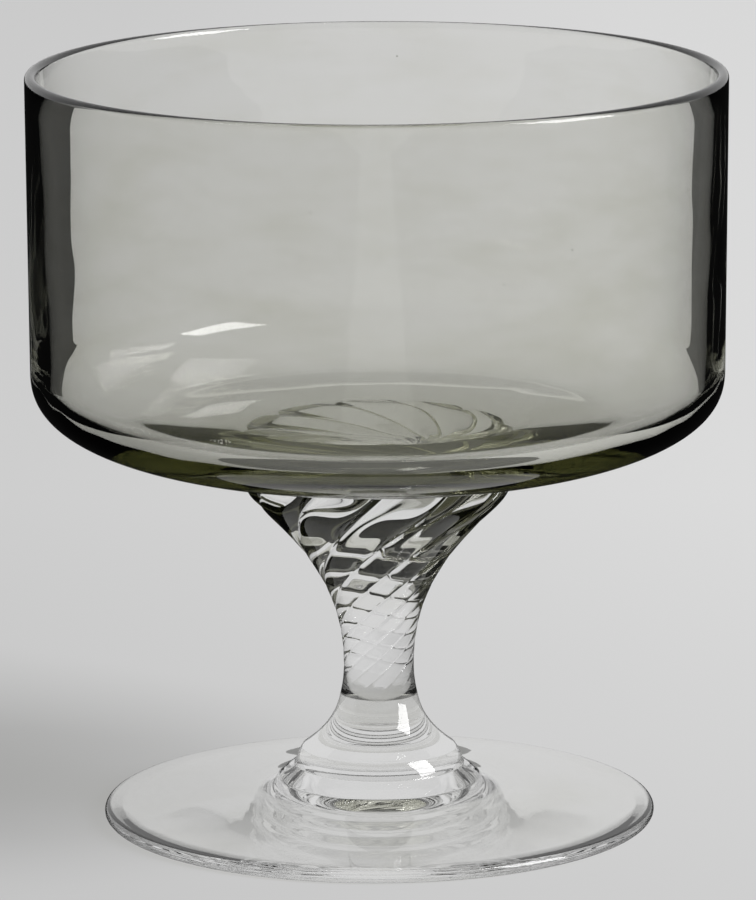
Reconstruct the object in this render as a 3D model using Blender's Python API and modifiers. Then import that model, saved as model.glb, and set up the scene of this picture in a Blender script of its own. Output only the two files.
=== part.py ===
"""Sherbet glass: a smoke-tinted bowl on a clear stem with twisted ribs and a clear foot.

Three gathers of glass, modelled apart with a thin gap at each fused seam.
Metres, +Z up. The origin is the centre of the ring that the foot rests on.
"""

import math

import bmesh
import bpy

OBJECT_NAME = "sherbet_glass"

# Fused seams: the gap left between two neighbouring gathers
SEAM_GAP = 0.0003

# Foot: an edged disc, two tooled rings, and a boss that the stem is dropped on
FOOT_RADIUS = 0.0366
FOOT_EDGE_THICKNESS = 0.0017
FOOT_EDGE_ROUND = 0.0009
REST_RING_WIDTH = 0.0018
UNDERSIDE_HOLLOW = 0.0028
HOLLOW_ROUND = 0.25
DISC_INNER_RADIUS = 0.0175
DISC_INNER_HEIGHT = 0.0042
DISC_DISH = 0.0001
LOWER_RING_RADIUS = 0.0134
LOWER_RING_HEIGHT = 0.0052
UPPER_RING_RADIUS = 0.0112
UPPER_RING_HEIGHT = 0.0070
RING_SWELL = 0.00015
RING_FILLET = 0.00015
BOSS_BASE_RADIUS = 0.0102
BOSS_BASE_HEIGHT = 0.0093
BOSS_TOP_SPREAD = 0.0015
BOSS_SPREAD_POWER = 2.4
BOSS_HEIGHT = 0.0165

# Stem: a waisted column that flares to the bowl, ribbed in a mould and twisted while soft
STEM_LENGTH = 0.0300
STEM_FOOT_RADIUS = 0.0051
NECK_RADIUS = 0.00465
NECK_HEIGHT = 0.0038
FLARE_REACH = 0.0227
FLARE_SPREAD = 0.0122
FLARE_POWER = 2.22
LIP_RADIUS = 0.0179
LIP_HARDNESS = 16.0
RIB_COUNT = 11
RIB_LEAN = math.radians(49.0)
RIB_PHASE = math.radians(-18.0)
RIB_DEPTH_AT_LIP = 0.0016
RIB_DEPTH_AT_NECK = 0.0001
RIB_DEPTH_POWER = 1.3
RIB_GROOVE_SOFTNESS = 0.06
RIB_FLATNESS = 3.0

# Bowl: near-upright wall, rounded-square lower corner, coned underside, flat seat on the stem, level floor
BOWL_HEIGHT = 0.0529
RIM_RADIUS = 0.0460
WALL_BASE_RADIUS = 0.04575
CORNER_HEIGHT = 0.0138
CORNER_SQUARENESS = 2.6
UNDERSIDE_RADIUS = 0.0309
SEAT_MARGIN = 0.0003
RIM_THICKNESS = 0.0016
WALL_THICKNESS = 0.0024
INNER_CORNER_HEIGHT = 0.0101
FLOOR_THICKNESS = 0.0059
FLOOR_BLEND = 0.0003

# Fineness of the facets
TURN_STEPS = 60
CORNER_STEPS = 10
INNER_CORNER_START = 0.70
RIM_STEPS = 4
POINTS_PER_RIB = 8
STEM_RINGS = 34
BOSS_STEPS = 6
RING_STEPS = 4
EDGE_STEPS = 6
HOLLOW_STEPS = 5
MERGE_DISTANCE = 0.00001
SHARP_ANGLE = math.radians(60.0)

# Levels at which the three pieces stand
STEM_LEVEL = BOSS_HEIGHT + SEAM_GAP
BOWL_LEVEL = STEM_LEVEL + STEM_LENGTH + SEAM_GAP


def glass(name, colour, roughness):
    """Clear, glossy glass of one tint."""
    material = bpy.data.materials.new(name)
    material.use_nodes = True
    shader = material.node_tree.nodes["Principled BSDF"]
    shader.inputs["Base Color"].default_value = (*colour, 1.0)
    shader.inputs["Metallic"].default_value = 0.0
    shader.inputs["Roughness"].default_value = roughness
    shader.inputs["IOR"].default_value = 1.52
    shader.inputs["Transmission Weight"].default_value = 1.0
    return material


def arched(start, end, swell, count):
    """Points after start, up to end, on a sine arch that stands out by swell to the run's left."""
    length = math.dist(start, end)
    across = (end[0] - start[0]) / length
    down = (end[1] - start[1]) / length
    points = []
    for step in range(1, count + 1):
        along = length * step / count
        rise = swell * math.sin(math.pi * step / count)
        points.append((start[0] + across * along - down * rise, start[1] + down * along + across * rise))
    return points


def rounded_corner(width, low, high, start, count):
    """Points of a superellipse about the axis, from the share start of its width out to the upright wall."""
    first = math.asin(start ** (CORNER_SQUARENESS / 2))
    points = []
    for step in range(count + 1):
        turn = first + (math.pi / 2 - first) * step / count
        across = math.sin(turn) ** (2 / CORNER_SQUARENESS)
        down = max(math.cos(turn), 0.0) ** (2 / CORNER_SQUARENESS)
        points.append((width * across, high - (high - low) * down))
    return points


def arc(centre, reach, height, start_degrees, end_degrees, count):
    """Points of an upright ellipse about a centre, both ends included."""
    points = []
    for step in range(count + 1):
        turn = math.radians(start_degrees + (end_degrees - start_degrees) * step / count)
        points.append((centre[0] + reach * math.cos(turn), centre[1] + height * math.sin(turn)))
    return points


def turned(name, profile, material, collection):
    """A solid of revolution: the profile runs down its outer side and is screwed round Z."""
    mesh = bpy.data.meshes.new(name)
    edges = [(i, i + 1) for i in range(len(profile) - 1)]
    mesh.from_pydata([(x, 0.0, z) for x, z in profile], edges, [])
    mesh.materials.append(material)
    piece = bpy.data.objects.new(name, mesh)
    collection.objects.link(piece)
    screw = piece.modifiers.new("turn", "SCREW")
    screw.axis = "Z"
    screw.angle = 2 * math.pi
    screw.steps = TURN_STEPS
    screw.render_steps = TURN_STEPS
    screw.use_merge_vertices = True
    screw.merge_threshold = MERGE_DISTANCE
    screw.use_smooth_shade = True
    return piece


def bowl_profile():
    """Level floor, inner corner and wall, rounded rim, outer wall and corner, coned underside and seat."""
    inner_base = WALL_BASE_RADIUS - WALL_THICKNESS
    rim_round = RIM_THICKNESS / 2
    rim_centre = (RIM_RADIUS - rim_round, BOWL_HEIGHT - rim_round)
    inner = rounded_corner(inner_base, CORNER_HEIGHT - INNER_CORNER_HEIGHT, CORNER_HEIGHT,
                           INNER_CORNER_START, CORNER_STEPS)
    outer = rounded_corner(WALL_BASE_RADIUS, 0.0, CORNER_HEIGHT,
                           UNDERSIDE_RADIUS / WALL_BASE_RADIUS, CORNER_STEPS)
    points = [(0.0, FLOOR_THICKNESS)]
    for radius, level in inner:
        blend = math.hypot(level - FLOOR_THICKNESS, FLOOR_BLEND)
        points.append((radius, (level + FLOOR_THICKNESS + blend) / 2))
    points += arc(rim_centre, rim_round, rim_round, 180, 0, RIM_STEPS)
    points += reversed(outer)
    points += [(LIP_RADIUS + SEAT_MARGIN, 0.0), (0.0, 0.0)]
    return points


def foot_profile():
    """Boss top, spreading boss, two rings, disc, rounded edge, rest ring and a round-nosed cone below."""
    edge_start = FOOT_RADIUS - FOOT_EDGE_ROUND
    edge_half = FOOT_EDGE_THICKNESS / 2
    hollow_radius = edge_start - REST_RING_WIDTH
    points = [(0.0, BOSS_HEIGHT)]
    for step in range(BOSS_STEPS + 1):
        share = step / BOSS_STEPS
        sweep = (BOSS_BASE_RADIUS - STEM_FOOT_RADIUS - BOSS_TOP_SPREAD) * share ** BOSS_SPREAD_POWER
        drop = (BOSS_HEIGHT - BOSS_BASE_HEIGHT) * share
        points.append((STEM_FOOT_RADIUS + BOSS_TOP_SPREAD * share + sweep, BOSS_HEIGHT - drop))
    points += arched(points[-1], (UPPER_RING_RADIUS, UPPER_RING_HEIGHT), RING_SWELL, RING_STEPS)
    points += arched(points[-1], (LOWER_RING_RADIUS, LOWER_RING_HEIGHT), RING_SWELL, RING_STEPS)
    points += arched(points[-1], (DISC_INNER_RADIUS, DISC_INNER_HEIGHT), -RING_FILLET, RING_STEPS)
    points += arched(points[-1], (edge_start, FOOT_EDGE_THICKNESS), -DISC_DISH, RING_STEPS)
    points += arc((edge_start, edge_half), FOOT_EDGE_ROUND, edge_half, 90, -90, EDGE_STEPS)[1:]
    for step in range(HOLLOW_STEPS + 1):
        share = 1.0 - step / HOLLOW_STEPS
        cone = math.hypot(share, HOLLOW_ROUND) - HOLLOW_ROUND
        fall = cone / (math.hypot(1.0, HOLLOW_ROUND) - HOLLOW_ROUND)
        points.append((hollow_radius * share, UNDERSIDE_HOLLOW * (1.0 - fall)))
    return points


def crest_radius(height):
    """Radius over the rib crests: a slight spread below the neck, a power curve above, a soft lip."""
    if height < NECK_HEIGHT:
        share = 1.0 - height / NECK_HEIGHT
        return NECK_RADIUS + (STEM_FOOT_RADIUS - NECK_RADIUS) * share ** 2
    flare = NECK_RADIUS + FLARE_SPREAD * ((height - NECK_HEIGHT) / FLARE_REACH) ** FLARE_POWER
    return (flare ** -LIP_HARDNESS + LIP_RADIUS ** -LIP_HARDNESS) ** (-1.0 / LIP_HARDNESS)


def groove_depth(height):
    """Depth of the grooves: deep at the flare, faint at the neck, none at the lower seam."""
    share = max(crest_radius(height) - NECK_RADIUS, 0.0) / (LIP_RADIUS - NECK_RADIUS)
    depth = RIB_DEPTH_AT_NECK + (RIB_DEPTH_AT_LIP - RIB_DEPTH_AT_NECK) * share ** RIB_DEPTH_POWER
    return depth * min(height / NECK_HEIGHT, 1.0) ** 2


def rib_swell(angle):
    """1 on a rib's crest and 0 in the groove: broad, nearly flat crests with tight grooves between them."""
    soft = RIB_GROOVE_SOFTNESS
    wave = math.hypot(math.cos(RIB_COUNT * angle / 2), soft) - soft
    return 1.0 - (1.0 - wave / (math.hypot(1.0, soft) - soft)) ** RIB_FLATNESS


def stem_section(height, twist):
    """One ribbed cross-section of the stem, turned by twist."""
    count = RIB_COUNT * POINTS_PER_RIB
    points = []
    for step in range(count):
        angle = 2 * math.pi * step / count
        reach = crest_radius(height) - groove_depth(height) * (1.0 - rib_swell(angle))
        points.append((reach * math.cos(angle + twist), reach * math.sin(angle + twist), height))
    return points


def twisted_stem(name, material, collection):
    """Ribbed sections lofted upwards, each turned a little more so that the ribs keep one lean."""
    shape = bmesh.new()
    rise = STEM_LENGTH / STEM_RINGS
    twist = RIB_PHASE
    rings = []
    for step in range(STEM_RINGS + 1):
        rings.append([shape.verts.new(point) for point in stem_section(rise * step, twist)])
        twist += math.tan(RIB_LEAN) * rise / crest_radius(rise * (step + 0.5))
    for lower, upper in zip(rings, rings[1:]):
        for i, corner in enumerate(lower):
            shape.faces.new((lower[i - 1], corner, upper[i], upper[i - 1]))
    shape.faces.new(reversed(rings[0]))
    shape.faces.new(rings[-1])
    mesh = bpy.data.meshes.new(name)
    shape.to_mesh(mesh)
    shape.free()
    mesh.shade_smooth()
    mesh.set_sharp_from_angle(angle=SHARP_ANGLE)
    mesh.materials.append(material)
    piece = bpy.data.objects.new(name, mesh)
    collection.objects.link(piece)
    return piece


def build():
    for old in list(bpy.data.objects):
        bpy.data.objects.remove(old, do_unlink=True)
    collection = bpy.data.collections.new(OBJECT_NAME)
    bpy.context.scene.collection.children.link(collection)
    smoke = glass("smoke_glass", (0.66, 0.67, 0.58), 0.02)
    clear = glass("clear_glass", (0.96, 0.97, 0.95), 0.02)

    turned("foot", foot_profile(), clear, collection)
    stem = twisted_stem("stem", clear, collection)
    stem.location.z = STEM_LEVEL
    bowl = turned("bowl", bowl_profile(), smoke, collection)
    bowl.location.z = BOWL_LEVEL


build()
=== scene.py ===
"""Looks of the sherbet glass: three fused gathers of soda glass, a camera, a pale table and soft light.

Sizes are in metres, written in millimetres times MM where they are small. +Z is up, the foot rests at z = 0.
"""

import math

import bpy
import numpy as np
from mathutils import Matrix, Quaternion, Vector


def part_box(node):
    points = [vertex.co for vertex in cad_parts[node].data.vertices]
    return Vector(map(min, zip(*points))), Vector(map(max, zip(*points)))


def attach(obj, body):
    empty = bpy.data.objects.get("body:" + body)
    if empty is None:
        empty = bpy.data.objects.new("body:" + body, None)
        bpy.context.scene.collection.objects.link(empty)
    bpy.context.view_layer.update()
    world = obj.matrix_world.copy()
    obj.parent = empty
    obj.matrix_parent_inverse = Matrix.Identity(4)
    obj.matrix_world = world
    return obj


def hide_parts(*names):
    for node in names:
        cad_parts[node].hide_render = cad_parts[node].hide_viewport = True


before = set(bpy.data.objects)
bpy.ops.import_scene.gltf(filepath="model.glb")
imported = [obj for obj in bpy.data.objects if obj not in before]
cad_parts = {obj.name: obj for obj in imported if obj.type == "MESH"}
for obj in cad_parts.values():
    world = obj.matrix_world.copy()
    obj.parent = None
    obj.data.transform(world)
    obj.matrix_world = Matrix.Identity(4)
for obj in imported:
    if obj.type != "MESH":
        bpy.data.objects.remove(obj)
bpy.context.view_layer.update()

MM = 0.001
TAU = 2.0 * math.pi

# What the CAD model fixes: radii and levels of the three gathers
BOWL_LOW, BOWL_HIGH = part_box("bowl")
FOOT_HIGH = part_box("foot")[1]
RIM_RADIUS = BOWL_HIGH.x
RIM_LEVEL = BOWL_HIGH.z
SEAT_LEVEL = BOWL_LOW.z
BOSS_LEVEL = FOOT_HIGH.z
FOOT_RADIUS = FOOT_HIGH.x

# Gathers that were fused hot touch; this hair keeps the skins apart
WELD_HAIR = 0.01 * MM

# Rings inside a weld face, as shares of its outline, and the angle past which an edge isn't smoothed
WELD_SHARES = (0.35, 0.7)
SHARP_CORNER = math.radians(60.0)

# Bowl
WALL_BASE_RADIUS = 45.75 * MM
CORNER_LEVEL = 60.9 * MM
CORNER_HEIGHT = 13.72 * MM
CORNER_SQUARENESS = 2.6
UNDERSIDE_RADIUS = 30.9 * MM
SEAT_MARGIN = 0.3 * MM
RIM_THICKNESS = 1.6 * MM
WALL_THICKNESS = 2.4 * MM
FLOOR_LEVEL = 53.0 * MM
FLOOR_BLEND = 0.3 * MM
INNER_CORNER_HEIGHT = 10.1 * MM
INNER_SQUARENESS = 2.6
SEAT_POINTS = 10
CORNER_POINTS = 110
WALL_POINTS = 12
RIM_POINTS = 15

# Stem
NECK_RADIUS = 4.65 * MM
STEM_FOOT_RADIUS = 5.1 * MM
NECK_HEIGHT = 3.8 * MM
FLARE_REACH = 22.7 * MM
FLARE_SPREAD = 12.2 * MM
FLARE_POWER = 2.22
LIP_LIMIT = 17.9 * MM
LIP_HARDNESS = 16.0
RIB_COUNT = 11
RIB_LEAN = math.radians(49.0)
RIB_PHASE = math.radians(-18.0)
RIB_DEPTH_AT_LIP = 1.6 * MM
RIB_DEPTH_AT_NECK = 0.10 * MM
RIB_DEPTH_POWER = 1.3
RIB_GROOVE_SOFTNESS = 0.06
RIB_FLATNESS = 3.0
STEM_TURNS = 400
STEM_LEVELS = 200

# Foot
FOOT_EDGE_THICKNESS = 1.7 * MM
FOOT_EDGE_ROUND = 0.9 * MM
REST_RING_WIDTH = 1.8 * MM
UNDERSIDE_HOLLOW = 2.8 * MM
HOLLOW_ROUND = 0.25
DISC_INNER_RADIUS = 17.5 * MM
DISC_INNER_HEIGHT = 4.2 * MM
DISC_DISH = 0.1 * MM
LOWER_RING_RADIUS = 13.4 * MM
LOWER_RING_HEIGHT = 5.2 * MM
UPPER_RING_RADIUS = 11.2 * MM
UPPER_RING_HEIGHT = 7.0 * MM
RING_SWELL = 0.15 * MM
RING_FILLET = 0.15 * MM
BOSS_BASE_RADIUS = 10.2 * MM
BOSS_BASE_HEIGHT = 9.3 * MM
BOSS_TOP_SPREAD = 1.5 * MM
BOSS_SPREAD_POWER = 2.4
FOOT_TURNS = 320
HOLLOW_POINTS = 24
REST_POINTS = 6
EDGE_POINTS = 24
DISC_POINTS = 40
RING_POINTS = 16
BOSS_POINTS = 36

# Camera: the photograph's viewpoint
FRAME_HEIGHT_PX = 900
FOCAL_PX = 6814.0
SENSOR_MM = 36.0
CAMERA_DISTANCE = 0.900
CAMERA_DROP = math.radians(11.756)
CAMERA_ROLL = math.radians(-0.224)
AIM_LEVEL = 49.365 * MM
NEAR_CLIP = 0.05
FAR_CLIP = 50.0

# Soda glass: ripples, wipe film and seeds have the size that they usually have on blown glass
GLASS_IOR = 1.52
RIPPLE_WIDTH = 14.0 * MM
RIPPLE_DETAIL = 1.0
RIPPLE_ROUGHNESS = 0.4
BOWL_RIPPLE = 0.10 * MM
CLEAR_RIPPLE = 0.06 * MM
WIPE_WIDTH = 16.0 * MM
WIPE_STRETCH = 3.0
WIPE_SLANT = math.radians(12.0)
WIPE_DETAIL = 4.0
WIPE_ROUGHNESS = 0.6
FILM_FROM, FILM_TO = 0.45, 0.75
SEED_SPACING = 11.0 * MM
SEED_RADIUS = 0.16 * MM
SEED_CORE = 0.6
CLEAN_TONE = "#FFFFFF"
FILM_TONE = "#F8F8F5"
SEED_TONE = "#9A9A92"
CLEAR_SHADE = "#F5F5F3"
SMOKE_SHADE = "#D2D2D2"
SMOKE_TONE = "#BCBD95"
SMOKE_DENSITY = 60.0

# Table: painted shade makes its colour darker to the left and to the front, and it turns into the backdrop
# further off
TABLE_HALF = 6.0
TABLE_LEVEL = -0.05 * MM
TABLE_TONE = "#C8C8C8"
TABLE_PAINTED_LIT_TONE = "#E1E1E1"
TABLE_SHADING = 0.06
TABLE_NEAR = -0.05
TABLE_FAR = 0.20
SHADING_SHARE = 0.5
SWEEP_START = 0.9
SWEEP_END = 2.5
BACKDROP_TONE = "#D8D8D8"

# Dim room round the table, which the table's colour also paints as a painted reflection for rays that the
# glass mirrors, and how often a ray has crossed the glass when it sees it
ROOM_TONE = "#141414"
INNER_GLOOM = 0.72
GLOOM_FEWEST, GLOOM_MOST = 4, 6
MANY = 99

# Cards on the table that paint dark edges into the glass's reflections and refractions, seen only by rays
# with these counts of crossings
BLACK_TONE = "#060606"
BLACK_FEWEST, BLACK_MOST = 2, 3
GREY_FEWEST = 4
# Hand, side, inner edge at y = 0, growth of that edge with y, tone of the grey card
CARDS = (("left", -1, 0.072, 0.074, "#424242"), ("right", 1, 0.077, 0.10, "#707070"))
BEHIND_FRONT, BEHIND_BACK = 0.16, 0.75
BEHIND_WIDE, BEHIND_SPREAD = 0.06, 0.85
BEHIND_LIFT = 0.5 * MM
BESIDE_FRONT, BESIDE_BACK = -0.5, 1.5
BESIDE_WIDE, BESIDE_SPREAD = 1.2, 0.0
BESIDE_LIFT = 0.6 * MM

# Softbox, and the room's light: heights and depths of the sky, as parts of a unit sphere
LAMP_DISTANCE = 8.0
LAMP_TURN = math.radians(71.0)
LAMP_RISE = math.radians(30.0)
LAMP_SPREAD = 0.46
LAMP_TALL = 0.75
LAMP_LEVEL = 11.0
FILL_LEVEL = 0.45
SKY_HEIGHT_FROM, SKY_HEIGHT_TO = 0.35, 0.5
SKY_DEPTH_FROM, SKY_DEPTH_TO = 0.45, 0.25
FRONT_FROM, FRONT_TO = -0.2, -0.4


def closed_skin(name, rings, first, last):
    """A closed skin: rings[level, turn] joined by quads, with a fan of triangles to a pole at each end."""
    levels, turns = rings.shape[:2]
    points = np.vstack([rings.reshape(-1, 3), first, last])
    index = np.arange(levels * turns).reshape(levels, turns)
    ahead = np.roll(index, -1, axis=1)
    quads = np.stack([index[:-1], ahead[:-1], ahead[1:], index[1:]], axis=-1).reshape(-1, 4)
    start, end = levels * turns, levels * turns + 1
    opening = np.stack([np.full(turns, start), ahead[0], index[0]], axis=-1)
    closing = np.stack([index[-1], ahead[-1], np.full(turns, end)], axis=-1)
    mesh = bpy.data.meshes.new(name)
    mesh.from_pydata(points.tolist(), [], opening.tolist() + quads.tolist() + closing.tolist())
    mesh.shade_smooth()
    mesh.set_sharp_from_angle(angle=SHARP_CORNER)
    piece = bpy.data.objects.new(name, mesh)
    bpy.context.scene.collection.objects.link(piece)
    return piece


def weld_faces(piece, turns, first_bands, last_bands=0):
    """Face attribute 'fused': 1 on the bands of faces at the start or end that are welded to a neighbour."""
    count = len(piece.data.polygons)
    fused = np.zeros(count, np.float32)
    fused[: first_bands * turns] = 1.0
    if last_bands:
        fused[count - last_bands * turns:] = 1.0
    attribute = piece.data.attributes.new("fused", "FLOAT", "FACE")
    attribute.data.foreach_set("value", fused)


def arc(centre, reach, height, start_degrees, end_degrees, count):
    """Points of an upright ellipse about a centre, both ends included, as an array of (radius, level)."""
    turn = np.radians(np.linspace(start_degrees, end_degrees, count))
    return np.stack([centre[0] + reach * np.cos(turn), centre[1] + height * np.sin(turn)], axis=-1)


def line(start, end, count):
    """Evenly spaced points of a straight run, without its two ends."""
    share = np.linspace(0.0, 1.0, count + 2)[1:-1, None]
    return np.array(start) * (1 - share) + np.array(end) * share


def arched(start, end, swell, count):
    """Points after start, up to end, on a sine arch that stands out by swell to the run's right."""
    start, end = np.array(start), np.array(end)
    share = np.linspace(0.0, 1.0, count + 1)[1:, None]
    run = end - start
    side = np.array([run[1], -run[0]]) / np.hypot(*run)
    return start + share * run + swell * np.sin(math.pi * share) * side


def carried_round(profile, turns):
    """Rings of a profile of (radius, level) carried round Z: x = r cos a, y = r sin a, z = level."""
    angle = np.arange(turns) * TAU / turns
    radius, level = profile[:, :1], profile[:, 1:]
    return np.stack([radius * np.cos(angle), radius * np.sin(angle), level + 0.0 * angle], axis=-1)


def crest_radius(height):
    """Stem radius over the rib crests: a slight spread below the neck, a power curve above, a soft lip."""
    below = np.clip(1.0 - height / NECK_HEIGHT, 0.0, 1.0)
    above = np.clip((height - NECK_HEIGHT) / FLARE_REACH, 0.0, None)
    curve = NECK_RADIUS + (STEM_FOOT_RADIUS - NECK_RADIUS) * below ** 2 + FLARE_SPREAD * above ** FLARE_POWER
    return (curve ** -LIP_HARDNESS + LIP_LIMIT ** -LIP_HARDNESS) ** (-1.0 / LIP_HARDNESS)


STEM_LENGTH = SEAT_LEVEL - BOSS_LEVEL - 2 * WELD_HAIR
LIP_RADIUS = float(crest_radius(np.array(STEM_LENGTH)))


def groove_depth(height):
    """Depth of the grooves: a power of the crest's way from neck to lip, fading to none at the lower seam."""
    share = (crest_radius(height) - NECK_RADIUS) / (LIP_RADIUS - NECK_RADIUS)
    depth = RIB_DEPTH_AT_NECK + (RIB_DEPTH_AT_LIP - RIB_DEPTH_AT_NECK) * share ** RIB_DEPTH_POWER
    return depth * np.clip(height / NECK_HEIGHT, 0.0, 1.0) ** 2


def rib_swell(angle):
    """1 on a rib's crest and 0 in the groove: a cosine's size, softened at zero and flattened on top."""
    wave = np.hypot(np.cos(RIB_COUNT * angle / 2), RIB_GROOVE_SOFTNESS) - RIB_GROOVE_SOFTNESS
    share = wave / (math.hypot(1.0, RIB_GROOVE_SOFTNESS) - RIB_GROOVE_SOFTNESS)
    return 1.0 - (1.0 - share) ** RIB_FLATNESS


def twist_of(height):
    """Turn of the section at each height: ribs of one lean climb tan(lean) per unit of girth."""
    rise = np.diff(height)
    middle = (height[1:] + height[:-1]) / 2
    climb = math.tan(RIB_LEAN) * rise / crest_radius(middle)
    return RIB_PHASE + np.concatenate([[0.0], np.cumsum(climb)])


def stem_rings():
    """Ribbed sections lofted upwards: radius = crest - depth (1 - swell), turned by the twist there."""
    height = np.linspace(0.0, STEM_LENGTH, STEM_LEVELS)
    angle = np.arange(STEM_TURNS) * TAU / STEM_TURNS
    turned = angle[None, :] + twist_of(height)[:, None]
    radius = crest_radius(height)[:, None] - groove_depth(height)[:, None] * (1 - rib_swell(angle))[None, :]
    level = np.repeat(height[:, None] + BOSS_LEVEL + WELD_HAIR, STEM_TURNS, axis=1)
    return np.stack([radius * np.cos(turned), radius * np.sin(turned), level], axis=-1)


def inset(ring, share):
    """The same ring drawn in towards its middle at its own level."""
    return ring * np.array([share, share, 1.0])


def make_stem():
    """Twisted stem with a flat weld face at each end."""
    side = stem_rings()
    lower = [inset(side[0], share) for share in WELD_SHARES]
    upper = [inset(side[-1], share) for share in reversed(WELD_SHARES)]
    rings = np.stack(lower + list(side) + upper)
    piece = closed_skin("twisted_stem", rings, [0, 0, side[0, 0, 2]], [0, 0, side[-1, 0, 2]])
    bands = len(WELD_SHARES) + 1
    weld_faces(piece, STEM_TURNS, bands, bands)
    return piece


def rounded_corner(inner_radius, outer_radius, low, high, squareness, count):
    """A superellipse quarter from the flat at (inner_radius, low) to the upright at (outer_radius, high)."""
    turn = np.linspace(0.0, math.pi / 2, count)
    across = np.sin(turn) ** (2.0 / squareness)
    down = np.cos(turn) ** (2.0 / squareness)
    radius = inner_radius + (outer_radius - inner_radius) * across
    return np.stack([radius, high - (high - low) * down], axis=-1)


def make_bowl():
    """Bowl: seat with the stem's outline let into it, outer corner and wall, rim, inner wall and floor.

    Both corners are superellipse quarters; the inner one runs out into the flat floor through a hyperbola.
    """
    seat_radius = LIP_RADIUS + SEAT_MARGIN
    inner_base = WALL_BASE_RADIUS - WALL_THICKNESS
    rim_round = RIM_THICKNESS / 2
    rim_centre = (RIM_RADIUS - rim_round, RIM_LEVEL - rim_round)
    outer = rounded_corner(0.0, WALL_BASE_RADIUS, CORNER_LEVEL - CORNER_HEIGHT, CORNER_LEVEL,
                           CORNER_SQUARENESS, CORNER_POINTS)
    outer = outer[outer[:, 0] > UNDERSIDE_RADIUS]
    rim = arc(rim_centre, rim_round, rim_round, 0, 180, RIM_POINTS)
    inner = rounded_corner(0.0, inner_base, CORNER_LEVEL - INNER_CORNER_HEIGHT, CORNER_LEVEL,
                           INNER_SQUARENESS, CORNER_POINTS)[::-1]
    inner[:, 1] = (inner[:, 1] + FLOOR_LEVEL + np.hypot(inner[:, 1] - FLOOR_LEVEL, FLOOR_BLEND)) / 2
    seat = (seat_radius, SEAT_LEVEL)
    profile = np.vstack([
        [seat], line(seat, outer[0], SEAT_POINTS), outer, line(outer[-1], rim[0], WALL_POINTS), rim,
        line(rim[-1], inner[0], WALL_POINTS), inner[:-1]])
    outline = stem_rings()[-1] * np.array([1, 1, 0]) + np.array([0, 0, SEAT_LEVEL])
    outline = np.roll(outline, -np.argmin(np.abs(np.arctan2(outline[:, 1], outline[:, 0]))), axis=0)
    weld = np.stack([inset(outline, share) for share in (*WELD_SHARES, 1.0)])
    rings = np.concatenate([weld, carried_round(profile, STEM_TURNS)])
    piece = closed_skin("smoke_bowl", rings, [0, 0, SEAT_LEVEL], [0, 0, inner[-1, 1]])
    weld_faces(piece, STEM_TURNS, len(weld))
    return piece


def foot_profile():
    """Underside hollow, rest ring, rounded edge, dished disc, two tooled rings and the spreading boss.

    The hollow is a cone with its tip rounded by a hyperbola, and the boss spreads downwards by a power curve.
    """
    edge_start = FOOT_RADIUS - FOOT_EDGE_ROUND
    edge_half = FOOT_EDGE_THICKNESS / 2
    hollow_radius = edge_start - REST_RING_WIDTH
    share = np.linspace(0.0, 1.0, HOLLOW_POINTS)[1:]
    cone = (np.hypot(share, HOLLOW_ROUND) - HOLLOW_ROUND) / (math.hypot(1.0, HOLLOW_ROUND) - HOLLOW_ROUND)
    hollow = np.stack([hollow_radius * share, UNDERSIDE_HOLLOW * (1 - cone)], axis=-1)
    edge = arc((edge_start, edge_half), FOOT_EDGE_ROUND, edge_half, -90, 90, EDGE_POINTS)
    disc = arched(edge[-1], (DISC_INNER_RADIUS, DISC_INNER_HEIGHT), -DISC_DISH, DISC_POINTS)
    fillet = arched(disc[-1], (LOWER_RING_RADIUS, LOWER_RING_HEIGHT), -RING_FILLET, RING_POINTS)
    lower = arched(fillet[-1], (UPPER_RING_RADIUS, UPPER_RING_HEIGHT), RING_SWELL, RING_POINTS)
    upper = arched(lower[-1], (BOSS_BASE_RADIUS, BOSS_BASE_HEIGHT), RING_SWELL, RING_POINTS)
    share = np.linspace(1.0, 0.0, BOSS_POINTS)[1:]
    boss = np.stack([
        STEM_FOOT_RADIUS + BOSS_TOP_SPREAD * share
        + (BOSS_BASE_RADIUS - STEM_FOOT_RADIUS - BOSS_TOP_SPREAD) * share ** BOSS_SPREAD_POWER,
        BOSS_LEVEL - (BOSS_LEVEL - BOSS_BASE_HEIGHT) * share], axis=-1)
    return np.vstack([hollow, line(hollow[-1], edge[0], REST_POINTS), edge, disc, fillet, lower, upper, boss])


def make_foot():
    """Foot with a round weld face on top of its boss."""
    rings = carried_round(foot_profile(), FOOT_TURNS)
    weld = np.stack([inset(rings[-1], share) for share in reversed(WELD_SHARES)])
    rings = np.concatenate([rings, weld])
    piece = closed_skin("clear_foot", rings, [0, 0, UNDERSIDE_HOLLOW], [0, 0, BOSS_LEVEL])
    weld_faces(piece, FOOT_TURNS, 0, len(weld) + 1)
    return piece


def linear(hex_colour):
    """sRGB hex colour as linear RGBA."""
    channels = np.array([int(hex_colour[i:i + 2], 16) for i in (1, 3, 5)]) / 255
    low = channels / 12.92
    high = ((channels + 0.055) / 1.055) ** 2.4
    return (*np.where(channels <= 0.04045, low, high), 1.0)


def add(tree, kind, settings=None, **inputs):
    """A node with its settings, its sockets' values, and links where a value is another node's socket."""
    node = tree.nodes.new(kind)
    for name, value in (settings or {}).items():
        setattr(node, name, value)
    for name, value in inputs.items():
        key = int(name[1:]) if name[0] == "_" else name.replace("_", " ")
        if isinstance(value, bpy.types.NodeSocket):
            tree.links.new(value, node.inputs[key])
        else:
            node.inputs[key].default_value = value
    return node


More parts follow.
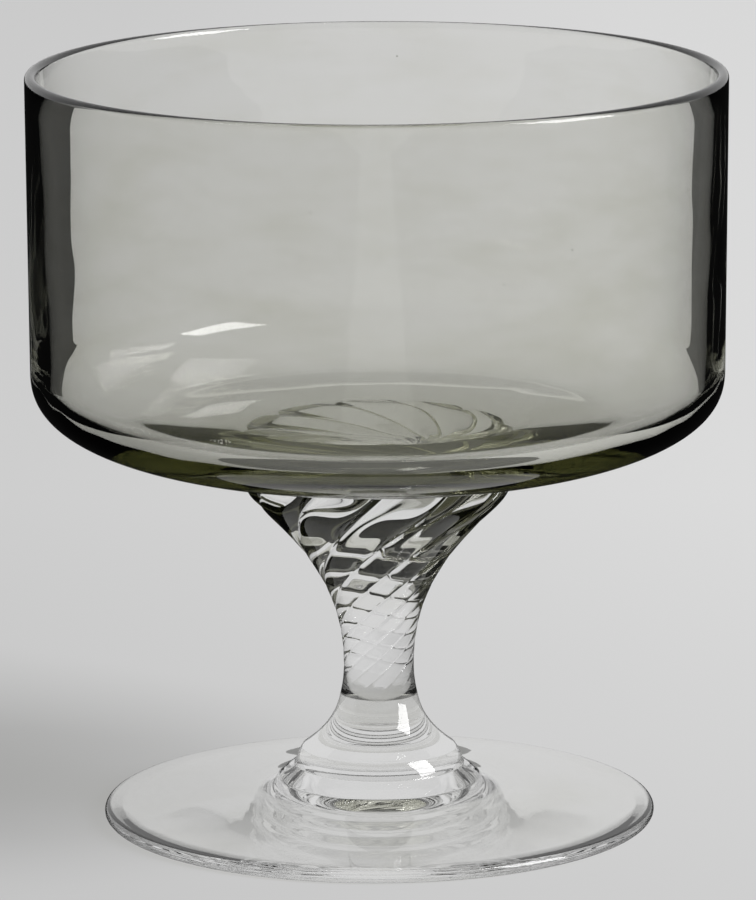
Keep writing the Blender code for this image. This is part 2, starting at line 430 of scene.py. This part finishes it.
def soda_glass(name, shade, ripple_height, smoke_tone=None):
    """Blown, fire-polished soda glass.

    The eye gets a clear body with soft ripples from the blowing, a thin film of wipe marks that dulls it
    here and there, and a few seeds, the tiny bubbles of hand-made glass. Welded faces let light pass
    straight on, as through one piece of glass. Shadow rays go straight through, thinned by the shade at
    each skin. Smoke glass also takes up light along its depth.
    """
    material = bpy.data.materials.new(name)
    material.use_nodes = True
    tree = material.node_tree
    tree.nodes.clear()
    where = add(tree, "ShaderNodeTexCoord")
    ripple = add(tree, "ShaderNodeTexNoise", Vector=where.outputs["Object"], Scale=1.0 / RIPPLE_WIDTH,
                 Detail=RIPPLE_DETAIL, Roughness=RIPPLE_ROUGHNESS)
    skin = add(tree, "ShaderNodeBump", Strength=1.0, Distance=ripple_height, Height=ripple.outputs[0])
    wiped = add(tree, "ShaderNodeMapping", {"vector_type": "POINT"}, Vector=where.outputs["Object"],
                Rotation=(0.0, WIPE_SLANT, 0.0), Scale=(1.0, 1.0, WIPE_STRETCH))
    film = add(tree, "ShaderNodeTexNoise", Vector=wiped.outputs[0], Scale=1.0 / WIPE_WIDTH,
               Detail=WIPE_DETAIL, Roughness=WIPE_ROUGHNESS)
    cover = add(tree, "ShaderNodeMapRange", Value=film.outputs[0], From_Min=FILM_FROM, From_Max=FILM_TO)
    veil = add(tree, "ShaderNodeMix", {"data_type": "RGBA"}, Factor=cover.outputs[0])
    veil.inputs[6].default_value = linear(CLEAN_TONE)
    veil.inputs[7].default_value = linear(FILM_TONE)
    seed = add(tree, "ShaderNodeTexVoronoi", Vector=where.outputs["Object"], Scale=1.0 / SEED_SPACING)
    bubble = add(tree, "ShaderNodeMapRange", Value=seed.outputs["Distance"],
                 From_Min=SEED_RADIUS / SEED_SPACING, From_Max=SEED_CORE * SEED_RADIUS / SEED_SPACING)
    tone = add(tree, "ShaderNodeMix", {"data_type": "RGBA"}, Factor=bubble.outputs[0])
    tree.links.new(veil.outputs[2], tone.inputs[6])
    tone.inputs[7].default_value = linear(SEED_TONE)
    fused = add(tree, "ShaderNodeAttribute", {"attribute_name": "fused"})
    ior = add(tree, "ShaderNodeMath", {"operation": "MULTIPLY_ADD"},
              _0=fused.outputs["Fac"], _1=1.0 - GLASS_IOR, _2=GLASS_IOR)
    glass = add(tree, "ShaderNodeBsdfPrincipled", Base_Color=tone.outputs[2], Roughness=0.0,
                Transmission_Weight=1.0, IOR=ior.outputs[0], Normal=skin.outputs[0])
    glass.inputs["IOR"].default_value = GLASS_IOR
    path = add(tree, "ShaderNodeLightPath")
    passing = add(tree, "ShaderNodeBsdfTransparent", Color=linear(shade))
    surface = add(tree, "ShaderNodeMixShader", _0=path.outputs["Is Shadow Ray"],
                  _1=glass.outputs[0], _2=passing.outputs[0])
    out = add(tree, "ShaderNodeOutputMaterial", Surface=surface.outputs[0])
    if smoke_tone:
        depth = add(tree, "ShaderNodeVolumeAbsorption", Color=linear(smoke_tone), Density=SMOKE_DENSITY)
        tree.links.new(depth.outputs[0], out.inputs["Volume"])
    return material


def matt(name, colour):
    """Plain matt surface."""
    material = bpy.data.materials.new(name)
    material.use_nodes = True
    shader = material.node_tree.nodes["Principled BSDF"]
    shader.inputs["Base Color"].default_value = linear(colour)
    shader.inputs["Roughness"].default_value = 1.0
    shader.inputs["Specular IOR Level"].default_value = 0.0
    return material


def crossing_ray(tree, fewest, most):
    """1 for a ray that has crossed the glass's skin between fewest and most times, else 0."""
    path = add(tree, "ShaderNodeLightPath")
    middle, half = (fewest + most) / 2, (most - fewest) / 2
    return add(tree, "ShaderNodeMath", {"operation": "COMPARE"},
               _0=path.outputs["Transmission Depth"], _1=middle, _2=half + 0.5).outputs[0]


def mirrored_ray(tree, fewest, most):
    """1 for such a ray that the glass has mirrored as well, else 0."""
    path = add(tree, "ShaderNodeLightPath")
    mirrored = add(tree, "ShaderNodeMath", {"operation": "GREATER_THAN"},
                   _0=path.outputs["Glossy Depth"], _1=0.5)
    return add(tree, "ShaderNodeMath", {"operation": "MULTIPLY"},
               _0=mirrored.outputs[0], _1=crossing_ray(tree, fewest, most)).outputs[0]


def table_top():
    """Pale matt table with painted shade: its colour is lighter to the right and to the back, and it turns
    into the backdrop further away.

    The glass mirrors a dim room, painted into the table's colour: rays mirrored on its outside or thrown
    about between its walls see the table painted dark, a painted reflection.
    """
    material = matt("pale_table", TABLE_TONE)
    tree = material.node_tree
    where = add(tree, "ShaderNodeNewGeometry")
    split = add(tree, "ShaderNodeSeparateXYZ", Vector=where.outputs["Position"])
    across = add(tree, "ShaderNodeMapRange", Value=split.outputs["X"], From_Min=-TABLE_SHADING,
                 From_Max=TABLE_SHADING, To_Max=SHADING_SHARE)
    away = add(tree, "ShaderNodeMapRange", Value=split.outputs["Y"], From_Min=TABLE_NEAR,
               From_Max=TABLE_FAR, To_Max=SHADING_SHARE)
    share = add(tree, "ShaderNodeMath", {"operation": "ADD"}, _0=across.outputs[0], _1=away.outputs[0])
    # Painted shade: the table's colour is darker to the left and to the front
    pale = add(tree, "ShaderNodeMix", {"data_type": "RGBA"}, Factor=share.outputs[0])
    pale.inputs[6].default_value = linear(TABLE_TONE)
    pale.inputs[7].default_value = linear(TABLE_PAINTED_LIT_TONE)
    # Painted reflection: for rays that the glass has mirrored, the table's colour turns to the dim room's
    # tone
    dim = add(tree, "ShaderNodeMath", {"operation": "MULTIPLY_ADD"},
              _0=mirrored_ray(tree, GLOOM_FEWEST, GLOOM_MOST), _1=INNER_GLOOM, _2=mirrored_ray(tree, 0, 0))
    tone = add(tree, "ShaderNodeMix", {"data_type": "RGBA"}, Factor=dim.outputs[0])
    tree.links.new(pale.outputs[2], tone.inputs[6])
    tone.inputs[7].default_value = linear(ROOM_TONE)
    tree.links.new(tone.outputs[2], tree.nodes["Principled BSDF"].inputs["Base Color"])
    reach = add(tree, "ShaderNodeVectorMath", {"operation": "LENGTH"}, _0=where.outputs["Position"])
    far = add(tree, "ShaderNodeMapRange", {"interpolation_type": "SMOOTHSTEP"},
              Value=reach.outputs["Value"], From_Min=SWEEP_START, From_Max=SWEEP_END)
    sweep = add(tree, "ShaderNodeEmission", Color=linear(BACKDROP_TONE))
    mixed = add(tree, "ShaderNodeMixShader", _0=far.outputs[0],
                _1=tree.nodes["Principled BSDF"].outputs[0], _2=sweep.outputs[0])
    tree.links.new(mixed.outputs[0], tree.nodes["Material Output"].inputs["Surface"])
    return material


def card(name, tone, test, fewest, most):
    """Matt card seen only by rays that pass the test; other light goes through it."""
    material = bpy.data.materials.new(name)
    material.use_nodes = True
    tree = material.node_tree
    tree.nodes.clear()
    clear_way = add(tree, "ShaderNodeBsdfTransparent")
    matt_face = add(tree, "ShaderNodeBsdfDiffuse", Color=linear(tone))
    mixed = add(tree, "ShaderNodeMixShader", _0=test(tree, fewest, most), _1=clear_way.outputs[0],
                _2=matt_face.outputs[0])
    add(tree, "ShaderNodeOutputMaterial", Surface=mixed.outputs[0])
    return material


def panel(name, corners, material):
    """A flat four-cornered sheet."""
    mesh = bpy.data.meshes.new(name)
    mesh.from_pydata(corners, [], [(0, 1, 2, 3)])
    mesh.materials.append(material)
    piece = bpy.data.objects.new(name, mesh)
    bpy.context.scene.collection.objects.link(piece)
    return piece


def make_stage():
    """Pale table, and on either side a grey card behind the glass and a black one beside it.

    Only rays that the glass has bent or mirrored see the cards, which paint the bowl's dark edges into its
    reflections and refractions.
    """
    far, low = TABLE_HALF, TABLE_LEVEL
    panel("table", [(-far, -far, low), (far, -far, low), (far, far, low), (-far, far, low)], table_top())
    # Painted dark edges: these cards are seen only in the glass, never by the camera, the fill light or
    # shadows
    black = card("black_card", BLACK_TONE, mirrored_ray, BLACK_FEWEST, BLACK_MOST)
    for hand, side, near, spread, tone in CARDS:
        grey = card(f"grey_card_{hand}", tone, crossing_ray, GREY_FEWEST, MANY)
        for place, front, back, wide, widen, lift, material in (
                ("behind", BEHIND_FRONT, BEHIND_BACK, BEHIND_WIDE, BEHIND_SPREAD, BEHIND_LIFT, grey),
                ("beside", BESIDE_FRONT, BESIDE_BACK, BESIDE_WIDE, BESIDE_SPREAD, BESIDE_LIFT, black)):
            inner = [near + spread * y for y in (front, back)]
            outer = [wide + widen * y for y in (front, back)]
            sheet = panel(f"card_{hand}_{place}", [
                (side * inner[0], front, lift), (side * outer[0], front, lift),
                (side * outer[1], back, lift), (side * inner[1], back, lift)], material)
            sheet.visible_camera = False
            sheet.visible_diffuse = False
            sheet.visible_shadow = False


def make_light():
    """A softbox on the right, a little to the front, and a room, pale behind and dim above and in front."""
    lamp = bpy.data.lights.new("softbox", "AREA")
    lamp.shape = "RECTANGLE"
    lamp.size = LAMP_SPREAD * LAMP_DISTANCE
    lamp.size_y = LAMP_TALL * LAMP_DISTANCE
    lamp.energy = LAMP_LEVEL * LAMP_DISTANCE ** 2
    softbox = bpy.data.objects.new("softbox", lamp)
    softbox.visible_transmission = False
    level = math.cos(LAMP_RISE)
    toward = Vector((level * math.sin(LAMP_TURN), -level * math.cos(LAMP_TURN), math.sin(LAMP_RISE)))
    softbox.location = toward * LAMP_DISTANCE
    softbox.rotation_euler = (-softbox.location).to_track_quat("-Z", "Y").to_euler()
    bpy.context.scene.collection.objects.link(softbox)

    world = bpy.data.worlds.new("studio")
    bpy.context.scene.world = world
    world.use_nodes = True
    tree = world.node_tree
    tree.nodes.clear()
    where = add(tree, "ShaderNodeTexCoord")
    split = add(tree, "ShaderNodeSeparateXYZ", Vector=where.outputs["Generated"])
    path = add(tree, "ShaderNodeLightPath")
    high = add(tree, "ShaderNodeMapRange", Value=split.outputs["Z"], From_Min=SKY_HEIGHT_FROM,
               From_Max=SKY_HEIGHT_TO)
    near = add(tree, "ShaderNodeMapRange", Value=split.outputs["Y"], From_Min=SKY_DEPTH_FROM,
               From_Max=SKY_DEPTH_TO)
    above = add(tree, "ShaderNodeMath", {"operation": "MULTIPLY"}, _0=high.outputs[0], _1=near.outputs[0])
    front = add(tree, "ShaderNodeMapRange", Value=split.outputs["Y"], From_Min=FRONT_FROM,
                From_Max=FRONT_TO)
    either = add(tree, "ShaderNodeMath", {"operation": "MAXIMUM"}, _0=above.outputs[0], _1=front.outputs[0])
    plain = add(tree, "ShaderNodeMath", {"operation": "MULTIPLY"},
                _0=either.outputs[0], _1=crossing_ray(tree, 0, GLOOM_MOST))
    inner = add(tree, "ShaderNodeMath", {"operation": "MULTIPLY"},
                _0=mirrored_ray(tree, GLOOM_FEWEST, GLOOM_MOST), _1=INNER_GLOOM)
    dim = add(tree, "ShaderNodeMath", {"operation": "MAXIMUM"}, _0=plain.outputs[0], _1=inner.outputs[0])
    tone = add(tree, "ShaderNodeMix", {"data_type": "RGBA"}, Factor=dim.outputs[0])
    tone.inputs[6].default_value = linear(BACKDROP_TONE)
    tone.inputs[7].default_value = linear(ROOM_TONE)
    fill = add(tree, "ShaderNodeMix", {"data_type": "RGBA"}, Factor=path.outputs["Is Diffuse Ray"])
    tree.links.new(tone.outputs[2], fill.inputs[6])
    fill.inputs[7].default_value = (FILL_LEVEL, FILL_LEVEL, FILL_LEVEL, 1.0)
    seen = add(tree, "ShaderNodeMix", {"data_type": "RGBA"}, Factor=path.outputs["Is Camera Ray"])
    tree.links.new(fill.outputs[2], seen.inputs[6])
    seen.inputs[7].default_value = linear(BACKDROP_TONE)
    sky = add(tree, "ShaderNodeBackground", Color=seen.outputs[2], Strength=1.0)
    world.cycles.sampling_method = "NONE"
    add(tree, "ShaderNodeOutputWorld", Surface=sky.outputs[0])


def make_camera():
    """The photograph's long lens, looking slightly down on the glass."""
    data = bpy.data.cameras.new("camera")
    data.sensor_width = SENSOR_MM
    data.lens = FOCAL_PX * SENSOR_MM / FRAME_HEIGHT_PX
    data.clip_start = NEAR_CLIP
    data.clip_end = FAR_CLIP
    camera = bpy.data.objects.new("camera", data)
    aim = Vector((0.0, 0.0, AIM_LEVEL))
    back = Vector((0.0, -math.cos(CAMERA_DROP), math.sin(CAMERA_DROP)))
    camera.location = aim + back * CAMERA_DISTANCE
    camera.rotation_mode = "QUATERNION"
    camera.rotation_quaternion = (-back).to_track_quat("-Z", "Y") @ Quaternion((0, 0, 1), CAMERA_ROLL)
    bpy.context.scene.collection.objects.link(camera)
    bpy.context.scene.camera = camera


clear = soda_glass("clear_soda_glass", CLEAR_SHADE, CLEAR_RIPPLE)
smoke = soda_glass("smoke_soda_glass", SMOKE_SHADE, BOWL_RIPPLE, SMOKE_TONE)
for make, node, slot, material in ((make_bowl, "bowl", "smoke_glass", smoke),
                                   (make_stem, "stem", "clear_glass", clear),
                                   (make_foot, "foot", "clear_glass", clear)):
    piece = make()
    piece.data.materials.append(material)
    # The room's fill light reaches the table under the glass
    piece.visible_diffuse = False
    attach(piece, "root")
    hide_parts(node)

make_stage()
make_light()
make_camera()

scene = bpy.context.scene
scene.view_settings.view_transform = "Standard"
# Light goes through many skins before it leaves the glass
scene.cycles.max_bounces = 32
scene.cycles.transmission_bounces = 32
scene.cycles.glossy_bounces = 16
scene.cycles.transparent_max_bounces = 16
# Shadow rays already go straight through the glass
scene.cycles.caustics_refractive = False
scene.cycles.caustics_reflective = False
